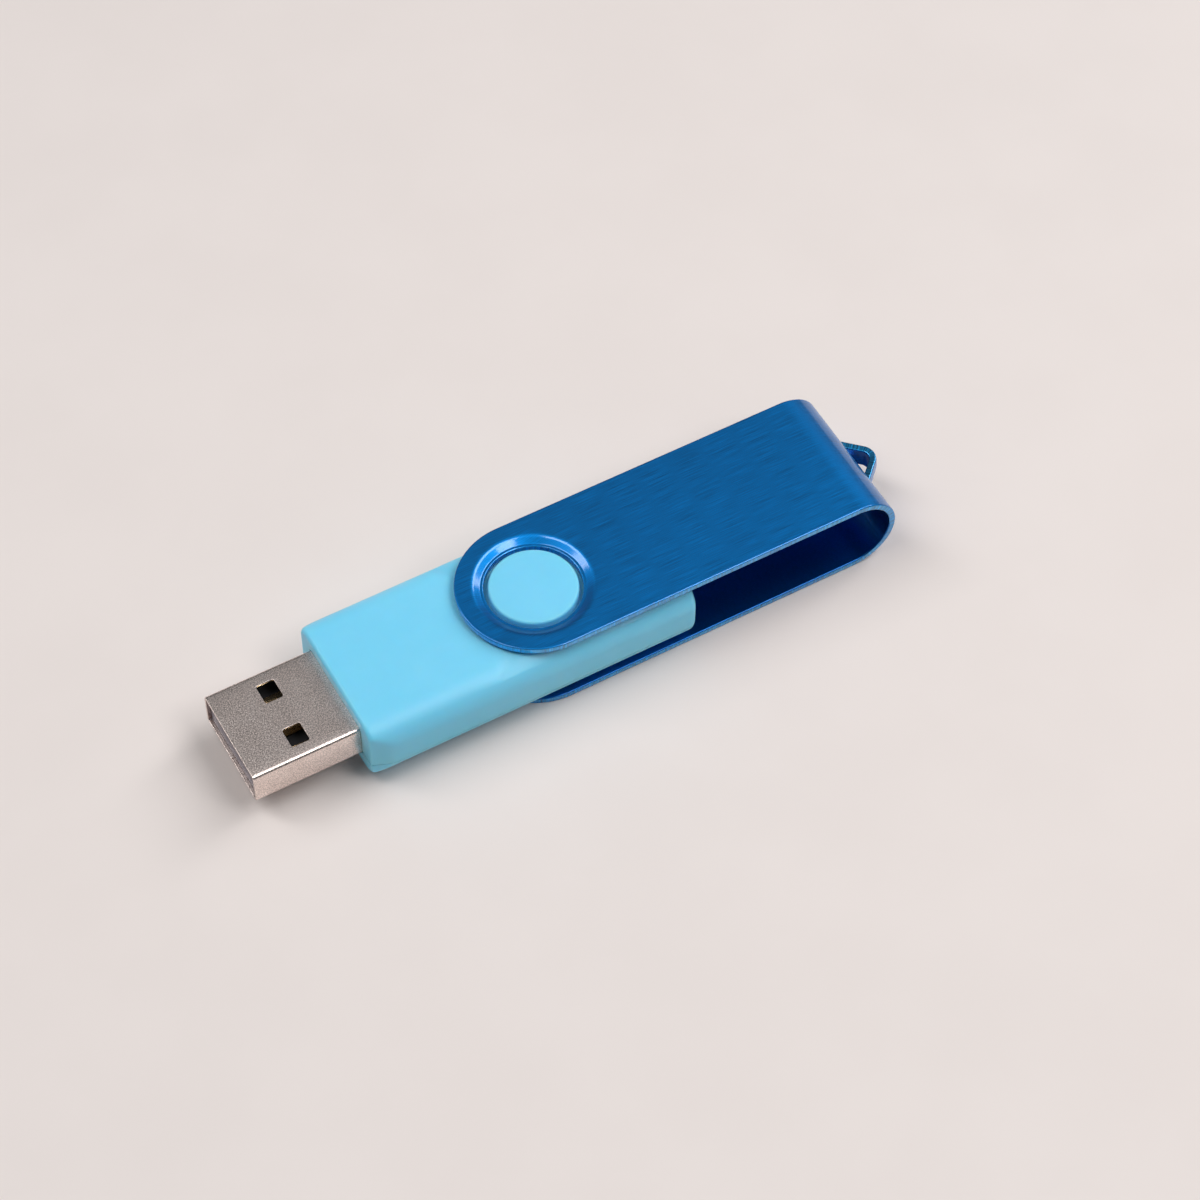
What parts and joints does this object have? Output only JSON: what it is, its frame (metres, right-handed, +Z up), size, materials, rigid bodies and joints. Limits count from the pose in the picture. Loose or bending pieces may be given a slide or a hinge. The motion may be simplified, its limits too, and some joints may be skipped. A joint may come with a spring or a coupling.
{
  "type": "usb flash drive",
  "caption": "Flash drive with a metal cover that swivels about round bosses on a plastic housing, shown open with the plug out.",
  "frame": {"origin": "middle of the footprint of the open drive, on the surface that the cover's lower plate rests on", "axes": "+X from the plug's tip to the keyring loop, +Z up, out of the cover's upper plate; the swivel axis is parallel to +Z"},
  "size_m": [0.0804, 0.0184, 0.0103],
  "materials": {
    "anodised_cover": "brushed along its length and anodised deep blue, satin",
    "housing_plastic": "moulded sky-blue plastic, satin",
    "plug_nickel": "nickel plate, matte and slightly warm",
    "insulator_plastic": "black moulded plastic",
    "contact_gold": "gold flash over copper alloy",
    "board_laminate": "green solder mask",
    "chip_resin": "black moulding resin",
    "crystal_can": "drawn metal can",
    "led_lens": "clear resin",
    "capacitor_ceramic": "beige ceramic with tinned ends",
    "resistor_ceramic": "black glaze with tinned ends"
  },
  "bodies": {
    "drive": {"upper_housing": "housing_plastic", "lower_housing": "housing_plastic", "plug_shell": "plug_nickel", "plug_insulator": "insulator_plastic", "contact_vbus": "contact_gold", "contact_data_minus": "contact_gold", "contact_data_plus": "contact_gold", "contact_ground": "contact_gold", "circuit_board": "board_laminate", "flash_chip": "chip_resin", "controller_chip": "chip_resin", "crystal": "crystal_can", "activity_led": "led_lens", "capacitor_1": "capacitor_ceramic", "capacitor_2": "capacitor_ceramic", "capacitor_3": "capacitor_ceramic", "capacitor_4": "capacitor_ceramic", "resistor_1": "resistor_ceramic", "resistor_2": "resistor_ceramic", "resistor_3": "resistor_ceramic"},
    "cover": {"swivel_cover": "anodised_cover"}
  },
  "joints": [
    {"name": "cover_swivel", "type": "hinge", "parent": "drive", "child": "cover", "pos_m": [-0.00355, 0, 0.00515], "axis": [0, 0, 1], "continuous": true}
  ]
}
